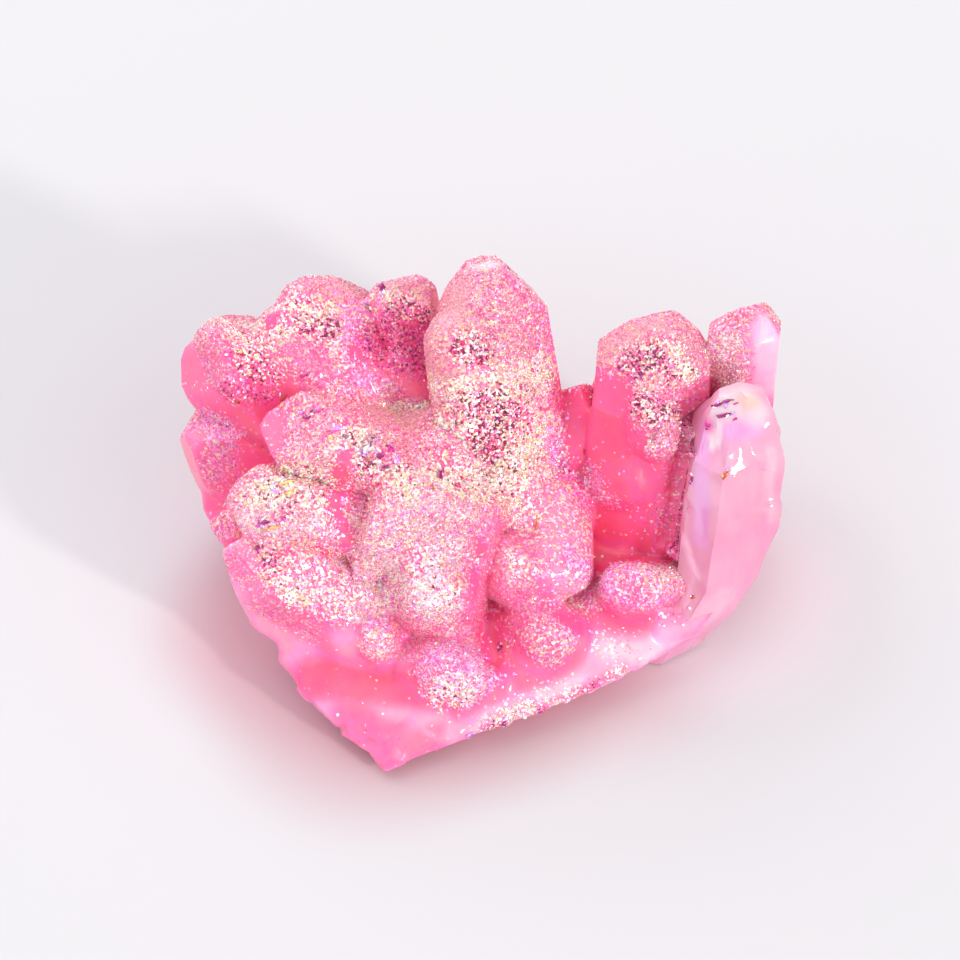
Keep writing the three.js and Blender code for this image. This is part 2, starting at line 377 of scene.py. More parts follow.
def tiled(corners, triangles):
    """The same flat facets, in small even triangles. Returns the points and the triangles."""
    points = [tuple(corner) for corner in corners]
    sides = {}
    tiles = []

    def side_points(start, end):
        low, high = min(start, end), max(start, end)
        if (low, high) not in sides:
            count = max(1, round(float(np.linalg.norm(corners[low] - corners[high])) / STEP))
            inner = range(len(points), len(points) + count - 1)
            for k in range(1, count):
                points.append(tuple(corners[low] + (corners[high] - corners[low]) * k / count))
            sides[low, high] = [low, *inner, high]
        run = sides[low, high]
        return run if start == low else run[::-1]

    for facet in flat_facets(corners, triangles):
        normal = unit(normals_of(corners, triangles[facet]).sum(0)[None])[0]
        across = unit(np.cross(normal, SLANT)[None])[0]
        along = np.cross(normal, across)
        outline = set()
        for corner in triangles[facet]:
            for k in range(3):
                start, end = int(corner[k - 1]), int(corner[k])
                if (end, start) in outline:
                    outline.remove((end, start))
                else:
                    outline.add((start, end))
        runs = [side_points(start, end) for start, end in sorted(outline)]
        rim = sorted({number for run in runs for number in run})
        place = {number: k for k, number in enumerate(rim)}
        # the facet laid flat, and tiled there
        origin = corners[triangles[facet[0]][0]]
        flat_rim = (np.array([points[number] for number in rim]) - origin) @ np.stack([across, along], 1)
        step = CUT_STEP if normal[2] < CUT_FACES else STEP
        inner = grid_within(flat_rim, step)
        edges = [(place[a], place[b]) for run in runs for a, b in zip(run, run[1:])]
        flat = np.concatenate([flat_rim, inner])
        _, _, faces, origins = delaunay_2d_cdt([Vector(p) for p in flat], edges, [], 0, 1e-7)[0:4]
        sources = np.array([origin_list[0] for origin_list in origins])
        faces = np.array(faces)
        a, b, c = (flat[sources[faces[:, k]]] for k in range(3))
        wide = np.abs(np.cross(b - a, c - a)) > LEAST_AREA
        faces = faces[wide & within((a + b + c) / 3, flat_rim, [(place[i], place[j]) for i, j in outline])]
        made = {}

        def number_of(k):
            source = sources[k]
            if source < len(rim):
                return rim[source]
            if source not in made:
                made[source] = len(points)
                points.append(tuple(origin + across * flat[source][0] + along * flat[source][1]))
            return made[source]

        for face in faces:
            tiles.append([number_of(k) for k in face])
    return np.array(points), np.array(tiles)


def within(places, rim, outline):
    """Which flat points the outline goes round."""
    crossings = np.zeros(len(places), int)
    for start, end in outline:
        (x0, y0), (x1, y1) = rim[start], rim[end]
        level = (places[:, 1] > y0) != (places[:, 1] > y1)
        reach = x0 + (places[:, 1] - y0) / (y1 - y0 + 1e-30) * (x1 - x0)
        crossings += level & (places[:, 0] < reach)
    return crossings % 2 == 1


def grid_within(rim, step):
    """Points of an even triangular grid over a facet's outline, clear of the outline's own points."""
    low, high = rim.min(0), rim.max(0)
    rows = np.arange(low[1], high[1], step * math.sqrt(3) / 2)
    columns = np.arange(low[0], high[0] + step, step)
    if not len(rows) or not len(columns):
        return np.zeros((0, 2))
    grid = np.stack(np.meshgrid(columns, rows), -1)
    grid[1::2, :, 0] += step / 2
    grid = grid.reshape(-1, 2)
    grid = grid + rng.uniform(-STRAY, STRAY, grid.shape) * step
    clear = np.ones(len(grid), bool)
    for start in range(0, len(rim), 256):
        part = rim[start : start + 256]
        apart = np.linalg.norm(grid[:, None] - part[None], axis=2).min(1)
        clear &= apart > CLEAR * step
    return grid[clear]


def mesh_edges(triangles):
    both = np.concatenate([triangles[:, [0, 1]], triangles[:, [1, 2]], triangles[:, [2, 0]]])
    return np.unique(np.sort(both, axis=1), axis=0)


class Neighbours:
    """Means over each point's neighbours in the skin."""

    def __init__(self, count, triangles):
        edges = mesh_edges(triangles)
        self.here = np.concatenate([edges[:, 0], edges[:, 1]])
        self.there = np.concatenate([edges[:, 1], edges[:, 0]])
        self.count = count
        self.degree = np.maximum(np.bincount(self.here, minlength=count), 1)

    def mean(self, values):
        if values.ndim == 1:
            return np.bincount(self.here, values[self.there], self.count) / self.degree
        return np.stack([self.mean(column) for column in values.T], 1)

    def settled(self, values, rounds, share=0.5):
        if values.ndim == 2 and not np.isscalar(share):
            share = share[:, None]
        for _ in range(rounds):
            values = values + share * (self.mean(values) - values)
        return values


def point_normals(points, triangles):
    faces = normals_of(points, triangles)
    total = np.zeros_like(points)
    for k in range(3):
        for axis in range(3):
            total[:, axis] += np.bincount(triangles[:, k], faces[:, axis], len(points))
    return unit(total)


def filled(points, triangles, skin, share, stages=60, rounds=16):
    """Fills the creases and leaves the ridges as they are."""
    for _ in range(stages):
        normals = point_normals(points, triangles)
        for _ in range(rounds):
            out = np.einsum("ij,ij->i", skin.mean(points) - points, normals)
            points = points + normals * (share * out.clip(0))[:, None]
    return points


def between(value, start, end):
    """0 where the value is at the start, 1 where it is at the end, and in step with it in between."""
    return np.clip((value - start) / (end - start), 0, 1)


def smoothed(part):
    """0 to 1, eased at both ends."""
    return part * part * (3 - 2 * part)


def lattice(cells, seed):
    """A number from -1 to 1 for each whole cell."""
    mixed = cells[:, 0] * 73856093 ^ cells[:, 1] * 19349663 ^ cells[:, 2] * 83492791 ^ seed * 2654435761
    mixed = (mixed ^ (mixed >> 13)) * 1274126177
    return ((mixed ^ (mixed >> 16)) & 0xFFFF) / 32767.5 - 1


def waves(points, size, seed):
    """Smooth noise from -1 to 1, with bumps about that size."""
    scaled = points / size
    cell = np.floor(scaled).astype(np.int64)
    part = smoothed(scaled - cell)
    total = np.zeros(len(points))
    for corner in np.ndindex(2, 2, 2):
        share = np.prod(np.where(np.array(corner) == 1, part, 1 - part), axis=1)
        total += share * lattice(cell + corner, seed)
    return total


def lumps(points, size, seed):
    """Flat-sided lumps, from -0.5 to 0.5: the height over the nearest of many scattered tilted planes."""
    scaled = points / size
    cell = np.floor(scaled).astype(np.int64)
    nearest = np.full(len(points), np.inf)
    height = np.zeros(len(points))
    for step in np.ndindex(3, 3, 3):
        other = cell + np.array(step) - 1
        middle = other + 0.5 + 0.45 * np.stack([lattice(other, seed + k) for k in range(3)], 1)
        tilt = np.stack([lattice(other, seed + 3 + k) for k in range(3)], 1)
        apart = np.linalg.norm(scaled - middle, axis=1)
        closer = apart < nearest
        nearest = np.where(closer, apart, nearest)
        height = np.where(closer, np.einsum("ij,ij->i", scaled - middle, tilt), height)
    return height.clip(-0.5, 0.5)


# ---------------------------------------------------------------- strokes

# How far out a stroke is full and where it ends, in radii, and how far the cosine is over and under the
# stroke's agreement where skin gets all or nothing of it.
STROKE_FULL = 0.5
STROKE_END = 1.5
ON_SIDE = 0.1
OFF_SIDE = 0.4
# Skin that a stroke of each kind reaches: the cosine between the ways that it and the stroke's place face.
# A stroke on a facet ends at once, where it would be at this share.
AGREEMENT = {"facet": 0.85, "face": 0.0, "all": -2.0}
FACET_SHARE = 0.5


class Surface:
    """What the camera sees of a solid."""

    def __init__(self, corners, triangles):
        self.tree = BVHTree.FromPolygons([Vector(c) for c in corners], triangles.tolist())
        self.eye = camera_place()

    def seen_at(self, u, v):
        """The point and normal that the camera sees at a pixel, or nothing."""
        place, normal, _, _ = self.tree.ray_cast(Vector(self.eye), Vector(pixel_ray(u, v)))
        return None if place is None else (np.array(place), np.array(normal))


def stroke_weight(points, facing, surface, pixels, radius, agreement):
    """How much of a stroke each point gets, round what those pixels show and out to a radius in mm."""
    hits = [hit for hit in (surface.seen_at(u, v) for u, v in pixels) if hit is not None]
    if not hits:
        raise ValueError(f"the stroke at {pixels[0]} misses the stone")
    weight = np.zeros(len(points))
    for (start, normal), (end, _) in zip(hits, hits[1:] or hits):
        line = end - start
        share = np.clip((points - start) @ line / max(line @ line, 1e-9), 0, 1)
        apart = np.linalg.norm(points - start - share[:, None] * line, axis=1) / radius
        near = smoothed(between(apart, STROKE_END, STROKE_FULL))
        near *= between(facing @ normal, agreement - OFF_SIDE, agreement + ON_SIDE)
        weight = np.maximum(weight, near)
    return weight


def paint(fields, points, facing, surface, finish, pixels, radius, kind):
    """Lays a finish or a form on along a stroke."""
    if finish in FORMS:
        kind = "all"
        changes = FORMS[finish]
    else:
        changes = dict(zip(LOOKS, FINISHES[finish]))
    weight = stroke_weight(points, facing, surface, pixels, radius, AGREEMENT[kind])
    if kind == "facet":
        weight *= weight > FACET_SHARE
    for name, value in changes.items():
        field = fields[:, column(name)]
        field += weight * (value - field)


# ---------------------------------------------------------------- objects


def add_mesh(name, points, triangles, material):
    mesh = bpy.data.meshes.new(name)
    mesh.vertices.add(len(points))
    mesh.vertices.foreach_set("co", (points * MM).astype(np.float32).ravel())
    mesh.loops.add(triangles.size)
    mesh.loops.foreach_set("vertex_index", triangles.astype(np.int32).ravel())
    mesh.polygons.add(len(triangles))
    mesh.polygons.foreach_set("loop_start", np.arange(0, triangles.size, 3, dtype=np.int32))
    mesh.update(calc_edges=True)
    mesh.validate()
    mesh.materials.append(material)
    piece = bpy.data.objects.new(name, mesh)
    bpy.context.scene.collection.objects.link(piece)
    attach(piece, BODY)
    return piece


def set_field(mesh, name, values):
    layer = mesh.attributes.new(name, "FLOAT", "POINT")
    layer.data.foreach_set("value", values.astype(np.float32))


# ---------------------------------------------------------------- materials

# The direction in which the painted sheen's pastel bands of the coating run, and their tones.
SHEEN_WAY = (0.9, -0.3, 1.3)
SHEEN_TONES = (
    (0.00, (248, 172, 240)),
    (0.20, (252, 178, 212)),
    (0.45, (255, 216, 204)),
    (0.60, (255, 190, 212)),
    (0.80, (234, 176, 252)),
    (1.00, (248, 172, 240)),
)
# Tones of the smooth stone, deep to pale, of the grains, and of the grains with a lilac sheen. The grains'
# tones are partly the coating's own colours and partly painted light: dark wine for shade between grains,
# gold and white for glints, and the lilac ones a painted sheen.
STONE_TONES = (
    (0.00, (218, 36, 96)),
    (0.25, (244, 58, 122)),
    (0.50, (248, 96, 154)),
    (0.75, (250, 144, 184)),
    (1.00, (254, 206, 218)),
)
GRAIN_TONES = (
    (0.00, (140, 14, 80)),
    (0.20, (228, 44, 122)),
    (0.42, (244, 92, 156)),
    (0.60, (248, 140, 182)),
    (0.74, (244, 176, 180)),
    (0.86, (255, 222, 174)),
    (1.00, (255, 252, 240)),
)
LILAC_TONES = (
    (0.00, (140, 20, 132)),
    (0.30, (234, 62, 176)),
    (0.60, (246, 146, 220)),
    (1.00, (255, 240, 252)),
)


# Noise over the stone, in bumps to the metre: clouds, mottling and patches of gloss.
CLOUDS = 260.0
MOTTLING = 1500.0
PATCHES_OF_GLOSS = 900.0
# The sugar painted on the skin between the grains: cells to the metre, how far a cell's tone strays, out to
# a pale end that is partly painted glints, and how far it leans. Cells with a number under the spread less
# SHADED_CELLS_FROM are darker by SHADED_CELLS_BY: painted shade between the grains.
CELLS = 4600.0
CELL_STRAY = 1.6
CELL_LEAN = (0.8, 0.8, 0.8)
SHADED_CELLS_FROM = 0.42
SHADED_CELLS_BY = 0.7


def stone_material():
    """Milky pink quartz under a thin glossy coating, with tiny flat facets where it is drusy."""
    material = bpy.data.materials.new("aura_stone")
    nodes = Nodes(material)
    cells = nodes.add("ShaderNodeTexVoronoi", in_Vector=nodes.place(), in_Scale=CELLS).outputs["Color"]
    red, green, blue = nodes.add("ShaderNodeSeparateColor", in_Color=cells).outputs
    tone = nodes.sum(nodes.field("tone"), nodes.noise(CLOUDS), 0.30)
    tone = nodes.sum(tone, nodes.noise(MOTTLING), 0.16)
    smooth = nodes.ramp(nodes.sum(tone, -0.23), STONE_TONES)
    strayed = nodes.sum(0.0, nodes.sum(red, -0.5), nodes.field("spread"))
    dust = nodes.sum(nodes.field("dust"), strayed, CELL_STRAY)
    # painted shade between the grains: some cells darker
    dark = nodes.below(red, nodes.sum(-SHADED_CELLS_FROM, nodes.field("spread")))
    dust = nodes.sum(dust, dark, -SHADED_CELLS_BY, clamp=True)
    lilac = nodes.below(blue, nodes.field("lilac"))
    sugar = nodes.mix(lilac, nodes.ramp(dust, GRAIN_TONES), nodes.ramp(dust, LILAC_TONES))
    facing = nodes.add("ShaderNodeNewGeometry").outputs["Normal"]
    # painted sheen over the smooth stone, as much as it is glossy
    shine = nodes.sum(0.0, nodes.field("gloss"), 0.6)
    smooth = nodes.mix(shine, smooth, nodes.sheen(facing, 0.5))
    drusy = nodes.below(green, nodes.field("cover"))
    rough = nodes.sum(0.42, nodes.field("gloss"), -0.30)
    rough = nodes.sum(rough, nodes.noise(PATCHES_OF_GLOSS), 0.12)
    lean = nodes.vector("SUBTRACT", cells, (0.5, 0.5, 0.5)).outputs[0]
    lean = nodes.vector("SCALE", lean, in_Scale=drusy).outputs[0]
    lean = nodes.vector("MULTIPLY_ADD", lean, CELL_LEAN, in_2=facing).outputs[0]
    nodes.set(
        Base_Color=nodes.mix(drusy, smooth, sugar),
        Roughness=nodes.sum(rough, drusy, -0.15),
        Metallic=nodes.sum(0.0, drusy, 0.2),
        Normal=nodes.vector("NORMALIZE", lean).outputs[0],
        Subsurface_Weight=0.6,
        Subsurface_Radius=(1.0, 0.30, 0.45),
        Subsurface_Scale=0.0015,
        Coat_Weight=0.3,
        Coat_Roughness=0.08,
    )
    return material


# The map whose places give the grains and the chips their colours.
COLOUR_MAP = "OFBake"


def map_places(nodes):
    """The two coordinates of a place on the colour map."""
    place = nodes.add("ShaderNodeUVMap", uv_map=COLOUR_MAP).outputs["UV"]
    return nodes.add("ShaderNodeSeparateXYZ", in_Vector=place).outputs[:2]


def set_map(piece, places):
    """Gives each corner of each triangle its place on the colour map."""
    layer = piece.data.uv_layers.new(name=COLOUR_MAP)
    layer.uv.foreach_set("vector", places.astype(np.float32).ravel())


def druse_material():
    """Tiny coated crystal tips, with painted glints, shade and lilac sheen in their colour. A grain's place
    on its map gives its colour: tone across, lilac sheen up.
    """
    material = bpy.data.materials.new("druse_grains")
    nodes = Nodes(material)
    tone, sheen = map_places(nodes)
    nodes.set(
        Base_Color=nodes.mix(sheen, nodes.ramp(tone, GRAIN_TONES), nodes.ramp(tone, LILAC_TONES)),
        Metallic=0.45,
        Roughness=0.15,
        Coat_Weight=0.6,
        Coat_Roughness=0.05,
    )
    return material


# ---------------------------------------------------------------- druse


# A grain: a three-sided tip whose foot is that share of its height under the skin.
TIP_FOOT = 0.25
TIP = np.array([[0, 0, 1.0]] + [[math.cos(a), math.sin(a), -TIP_FOOT] for a in np.arange(3) * math.tau / 3])
TIP_SIDES = np.array([[0, 1, 2], [0, 2, 3], [0, 3, 1], [1, 3, 2]])
# How close the grains are, and the cover under which there are none.
CROWD = 1.1
BARE = 0.1
# How grains differ: least and most size, height and side, as shares; their width, and how far they lean.
GRAIN_SIZES = (0.55, 1.45)
GRAIN_HEIGHTS = (0.25, 0.55)
GRAIN_SIDES = (0.8, 1.3)
GRAIN_WIDTH = 0.62
GRAIN_LEAN = 0.32
# Where tones stray by more than FLAKES_FROM, some grains are larger flakes.
FLAKES_FROM = 0.3
FLAKE_CHANCE = 0.35
FLAKE_SIZE = 0.4
# How a grain's tone strays, as mean and spread; from what stray on some are dark, painted shade between the
# grains, and by how much; and the least and most of a painted lilac sheen.
GRAIN_STRAY = (0.15, 0.4)
SHADED_GRAINS_FROM = 0.4
SHADED_GRAINS_BY = 0.8
GRAIN_SHEENS = (0.4, 1.0)
# A grain's own place on the colour map stays clear of the map's edges by MARGIN, and its corners lie NUDGE
# apart.
MARGIN = 0.01
NUDGE = 0.001


def scattered(points, triangles, crowd):
    """Random places on the skin, crowd of them to the square millimetre: triangle numbers and shares."""
    area = np.linalg.norm(normals_of(points, triangles), axis=1) / 2
    wanted = area * crowd[triangles].mean(1)
    count = np.floor(wanted + rng.random(len(wanted))).astype(int)
    number = np.repeat(np.arange(len(triangles)), count)
    shares = rng.dirichlet((1, 1, 1), len(number))
    return number, shares


def spread(values, triangles, number, shares):
    """Point values carried over to the scattered places."""
    picked = values[triangles[number]]
    return np.einsum("ij,ij...->i...", shares, picked)


def add_druse(name, points, triangles, normals, fields, keep, material):
    """Crystal tips over the part of the skin that keep picks, as one joined mesh."""
    cover = fields[:, column("cover")]
    grain = fields[:, column("grain")]
    number, shares = scattered(points, triangles, CROWD * keep * (cover - BARE).clip(0) / grain**2)
    place = spread(points, triangles, number, shares)
    axis = unit(spread(normals, triangles, number, shares))
    local = spread(fields, triangles, number, shares)
    count = len(place)
    stray = local[:, column("spread")]
    size = local[:, column("grain")] * rng.uniform(*GRAIN_SIZES, count)
    size *= 1 + FLAKE_SIZE * (rng.random(count) < FLAKE_CHANCE * (stray - FLAKES_FROM))
    axis = unit(axis + rng.normal(0, GRAIN_LEAN, (count, 3)))
    side = unit(np.cross(axis, rng.normal(size=(count, 3))))
    other = np.cross(axis, side)
    tall = size * rng.uniform(*GRAIN_HEIGHTS, count)
    wide = size * GRAIN_WIDTH
    side = side * rng.uniform(*GRAIN_SIDES, (count, 1))
    arms = np.stack([side * wide[:, None], other * wide[:, None], axis * tall[:, None]], 1)
    shape = place[:, None] + TIP @ arms
    faces = (np.arange(count) * len(TIP))[:, None, None] + TIP_SIDES[None]
    piece = add_mesh(name, shape.reshape(-1, 3), faces.reshape(-1, 3), material)
    dust = local[:, column("dust")] + stray * rng.normal(*GRAIN_STRAY, count)
    # painted shade between the grains: some grains darker
    dust -= SHADED_GRAINS_BY * (rng.random(count) < stray - SHADED_GRAINS_FROM)
    sheen = (rng.random(count) < local[:, column("lilac")]) * rng.uniform(*GRAIN_SHEENS, count)
    centre = np.clip(np.stack([dust, sheen], 1), MARGIN, 1 - MARGIN)
    nudge = np.array([[0, 1], [-1, -1], [1, -1], [1, 1]]) * NUDGE
    set_map(piece, (centre[:, None] + nudge[None]).reshape(-1, 2)[faces.reshape(-1)])


# ---------------------------------------------------------------- what is painted where


# Each stroke: finish or form, radius in mm, the kind of skin it keeps to where that isn't its own side of
# the stone, and the pixels it runs through.
STROKES = (
    # druse down in the creases too
    ("rose", 5, "all", (340, 480), (350, 530), (385, 575)),
    ("satin", 1, "all", (343, 452), (338, 478), (348, 500)),
    ("rose", 4, "all", (420, 440), (460, 470), (480, 520)),
    ("rose", 2.6, "all", (425, 415), (436, 430)),
    ("sugar", 3, "all", (490, 540), (486, 600)),
    ("sugar", 3, "all", (395, 640), (470, 640), (520, 625)),
    ("rose", 2, "all", (300, 545), (355, 545)),
    ("hot", 1.3, "all", (375, 568), (384, 592)),
    ("rose", 2.6, "all", (440, 440), (450, 462)),
    # flat facets with one tone
    ("beige", 3.4, "facet", (290, 290), (340, 290)),
    ("satin", 2.6, "facet", (187, 350), (192, 372)),
    ("beige", 5, "facet", (625, 345), (650, 330)),
    ("beige", 4, "facet", (445, 320), (452, 360)),
    # the outermost crystal, upper left
    ("rose", 2.4, (215, 338), (250, 352), (290, 345)),
    ("satin", 1.8, (192, 350), (197, 378)),
    ("gold", 2, (238, 330), (262, 338), (285, 340)),
    ("speckle", 1.1, (238, 358), (275, 378)),
    ("sugar", 2, (215, 365), (225, 390)),
    ("satin", 2, (215, 405), (235, 400)),
    ("deep", 2.2, (250, 415), (282, 400)),
    ("hot", 1.2, (228, 392), (262, 392)),
    # those under it
    ("lilac", 1.9, (213, 425), (235, 448)),
    ("satin", 1.8, (188, 440), (190, 480)),
    ("deep", 2.2, (255, 458), (262, 440)),
    # the broad ridge
    ("beige", 1.8, (285, 292), (345, 293)),
    ("gold", 1.6, (285, 308), (325, 316)),
    ("speckle", 1.2, (308, 328), (335, 333)),
    ("rose", 2, (290, 352), (335, 372)),
    ("sugar", 1.5, (300, 352), (328, 366)),
    ("gold", 1, (337, 340), (345, 362)),
    ("lilac", 0.9, (352, 308), (347, 345), (352, 392)),
    ("lilac", 1.4, (362, 378), (398, 396)),
    ("deep", 1.3, (362, 350), (376, 366)),
    ("deep", 0.9, (262, 308), (272, 318)),
    # its slim neighbour
    ("beige", 1.6, (393, 290), (425, 303)),
    ("gold", 0.8, (392, 296), (410, 300)),
    ("speckle", 1.2, (402, 310), (424, 318)),
    ("hot", 2.4, "all", (395, 335), (415, 355), (410, 368)),
    ("hot", 1.6, "all", (425, 340), (430, 390)),
    ("hot", 1.6, "all", (372, 345), (385, 370)),
    ("satin", 1.5, "all", (375, 382), (405, 390), (440, 398)),
    ("lilac", 0.8, (368, 382), (388, 390)),
    ("rose", 1.3, "all", (380, 404), (405, 408), (440, 414)),
    # the tallest
    ("rose", 4, (500, 300), (520, 380)),
    ("beige", 2.2, (452, 300), (462, 335), (458, 372)),
    ("gold", 1.6, (466, 385), (474, 425)),
    ("rose", 1.8, (452, 385), (459, 415)),
    ("gold", 1.8, (461, 425), (464, 442)),
    ("ice", 1.2, "facet", (472, 268), (490, 265)),
    ("milky", 0.7, (515, 276), (528, 286)),
    ("deep", 0.8, (438, 300), (462, 277)),
    ("speckle", 1.3, (468, 340), (480, 352)),
    ("rose", 1.6, (505, 345), (530, 360)),
    ("gold", 2, (500, 385), (540, 378)),
    ("gold", 3.4, (500, 425), (535, 450), (500, 475)),
    ("speckle", 1.4, (478, 398), (500, 402)),
    ("speckle", 1.7, (485, 450), (500, 425), (512, 410)),
    ("lilac", 1.2, (550, 440), (562, 462)),
    # behind the valley
    ("deep", 1.8, (575, 402), (588, 460)),
    ("hot", 1, (566, 470), (572, 500)),
    # the crest
    ("satin", 1.2, (275, 420), (272, 442)),
    ("rose", 2, (300, 400), (380, 425)),
    ("beige", 1.8, (370, 412), (455, 438)),
    ("gold", 1, (395, 412), (425, 416)),
    ("gold", 1.4, (360, 440), (340, 455)),
    ("speckle", 1.2, (370, 465), (400, 480)),
    # below it
    ("gold", 2.2, (262, 500), (300, 478), (330, 500)),
    ("snow", 1.8, (325, 505), (322, 528)),
    ("speckle", 1, (262, 520), (285, 518)),
    ("deep", 0.8, (345, 455), (335, 500), (345, 545)),
    ("frost", 1.6, (245, 520), (320, 535)),
    # the thick one facing forward
    ("frost", 3, (390, 520), (450, 500)),
    ("frost", 2.4, (385, 560), (450, 545)),
    ("gold", 2, (440, 480), (480, 490)),
    ("gold", 1.3, (390, 470), (410, 490)),
    # lowest and broad
    ("gold", 1.8, (255, 560), (300, 590)),
    ("frost", 2.2, (320, 555), (350, 600), (375, 600)),
    ("frost", 1.6, (300, 572), (330, 590)),
    ("speckle", 1.1, (250, 550), (270, 565)),
    ("milky", 2.6, (232, 560), (262, 620), (300, 650)),
    ("sugar", 1.4, (232, 560), (270, 610), (310, 630)),
    # the knobs in front
    ("frost", 2.6, (420, 590), (440, 610)),
    ("snow", 1.8, (425, 565), (438, 600)),
    ("sugar", 2, (515, 570), (520, 590)),
    ("frost", 1.3, (512, 558), (520, 572)),
    ("satin", 2.4, (530, 660), (560, 655)),
    ("rose", 1.8, (540, 632), (550, 648)),
    ("frost", 0.7, (555, 630), (570, 640)),
    ("lilac", 2.4, (435, 665), (478, 668)),
    ("snow", 1.5, (440, 692), (465, 692)),
    ("frost", 1.5, (378, 630), (380, 650)),
    ("lilac", 0.8, (372, 625), (384, 628)),
    ("deep", 1.3, (490, 625), (498, 655)),
    ("deep", 0.9, (480, 545), (476, 595)),
    # the plate
    ("hot", 1.8, "all", (565, 602), (600, 594)),
    ("milky", 1.6, (345, 640), (350, 655), (402, 668)),
    ("deep", 2.4, (305, 686), (350, 688), (400, 694)),
    ("milky", 1, (320, 709), (380, 714), (440, 722)),
    ("deep", 1.2, (385, 763), (390, 748)),
    ("satin", 2, (350, 720), (390, 750)),
    ("satin", 1.6, (400, 750), (440, 740)),
    ("milky", 1.4, (455, 735), (485, 722)),
    # the front rim, painted pale: partly the stone's milky pink, partly painted light where the lamps hardly
    # reach
    ("ice", 1.7, (490, 724), (550, 701), (600, 678)),
    ("milky", 2, (600, 668), (640, 655)),
    ("snow", 0.8, (495, 722), (530, 708)),
    ("speckle", 0.5, (486, 732), (502, 727)),
    ("hot", 0.5, (537, 712), (546, 708)),
    ("snow", 0.6, (556, 703), (575, 694)),
    ("hot", 0.6, (585, 690), (600, 683)),
    ("snow", 0.6, (612, 677), (622, 672)),
    # painted pale as well: partly milky pink, partly painted light
    ("ice", 2, (610, 640), (645, 640)),
    ("glass", 2, (645, 640), (690, 615), (715, 590)),
    # the centre ridge and the valley
    ("veil", 2.6, (550, 500), (565, 560), (572, 600)),
    ("deep", 2.6, (600, 480), (630, 530)),
    ("lilac", 2, (602, 482), (628, 492)),
    ("lilac", 1.4, (575, 560), (590, 590)),
    # the right-hand group
    ("beige", 1.6, (605, 350), (655, 330)),
    ("speckle", 1.9, (632, 366), (660, 356), (675, 368)),
    ("gold", 1, (685, 360), (690, 375)),
    ("rose", 1.6, (680, 335), (690, 370)),
    ("gold", 1, (675, 350), (690, 375)),
    ("deep", 3.2, (605, 405), (615, 440), (640, 480)),
    ("deep", 2.2, "all", (606, 395), (612, 430)),
    ("speckle", 1.3, (645, 405), (668, 412)),
    ("rose", 1.3, (655, 425), (670, 440)),
    ("frost", 2, (722, 335), (730, 380)),
    ("glass", 1.8, (765, 330), (768, 385)),
    ("glass", 3.4, (745, 440), (745, 560)),
    ("glass", 2.4, (712, 420), (715, 560)),
    ("rose", 1, "all", (692, 430), (690, 470)),
    ("hot", 1.3, "all", (684, 480), (676, 560)),
    ("sugar", 2.6, (615, 590), (650, 592), (680, 590)),
    ("lilac", 1.6, (612, 585), (640, 590)),
    ("frost", 1.6, (650, 578), (685, 575)),
    ("deep", 1.6, (615, 618), (645, 620)),
    # forms: how rounded the edges are, and where creases are filled and the skin stands out
    ("rounded", 5, (420, 600), (540, 640), (450, 680)),
    ("bulged", 3, (451, 350), (457, 395), (462, 430)),
    ("raised", 2.4, (445, 672), (462, 672)),
    ("raised", 2, (545, 640), (548, 645)),
    ("raised", 1.6, (375, 632), (378, 642)),
    ("bulged", 2, (622, 590), (650, 588)),
    ("raised", 1.8, (650, 588), (675, 585)),
    ("sunk", 1.2, (488, 632), (492, 655)),
    ("rounded", 5, (380, 660), (330, 700), (480, 730)),
    ("rounded", 3, (640, 590), (680, 600)),
    ("bulged", 1.5, (370, 562), (380, 578)),
    ("filled", 4, (268, 545), (330, 550)),
    ("filled", 3, (215, 400), (250, 410)),
    ("raised", 2, (268, 305), (300, 290)),
    ("raised", 1.6, (206, 338), (222, 330)),
    ("filled", 8, (420, 400), (438, 425), (450, 455)),
    ("filled", 3, (385, 370), (420, 380)),
    ("bulged", 2.6, (428, 420), (448, 448)),
    ("raised", 2, (398, 375), (420, 385)),
    ("filled", 4, (555, 600), (585, 602), (600, 590)),
    ("filled", 3, (500, 600), (492, 620)),
    ("bulged", 1.8, (652, 412), (655, 436)),
    ("raised", 2, (612, 486), (630, 486)),
    ("filled", 4, (480, 500), (484, 560), (484, 600)),
    ("filled", 7, (300, 500), (340, 540), (380, 560)),
    ("filled", 6, (400, 440), (440, 460), (480, 520), (480, 590)),
    ("filled", 4, (455, 400), (464, 440), (490, 470)),
    ("filled", 2.6, (372, 560), (382, 580)),
    ("filled", 2.6, (395, 650), (420, 650)),
    ("filled", 3, (380, 480), (430, 470), (480, 500)),
    ("filled", 2, (355, 500), (370, 560)),
    ("filled", 2, (290, 470), (270, 540)),
    ("melted", 2, (440, 350), (445, 400), (430, 430)),
    ("melted", 2.2, (365, 370), (400, 385), (430, 400)),
    ("melted", 2, (480, 470), (530, 480), (555, 470)),
    ("melted", 2.6, (565, 500), (570, 560), (580, 590)),
    ("melted", 2.4, (600, 500), (620, 540)),
    ("melted", 2.4, (250, 600), (290, 640)),
    ("melted", 1.6, (215, 470), (235, 510)),
    ("melted", 1.6, (330, 655), (350, 680)),
    ("sunk", 2.6, (748, 450), (748, 550)),
    ("crisp", 1.6, (185, 364), (203, 320), (260, 300), (300, 283), (360, 296)),
    ("crisp", 1.6, (440, 300), (470, 262), (500, 262), (543, 305)),
    ("crisp", 1.6, (597, 352), (655, 316), (700, 330)),
    ("crisp", 1.6, (712, 330), (765, 306), (776, 330)),
)


# Where no stroke says otherwise: how soft the edges are at the top and how much more so lower down, how far
# the creases are filled, and the height of the lumps on the broken foot, in mm.
SOFT_TOP = 0.02
SOFT_MORE = 0.20
FILL = 0.06
BROKEN = 0.5


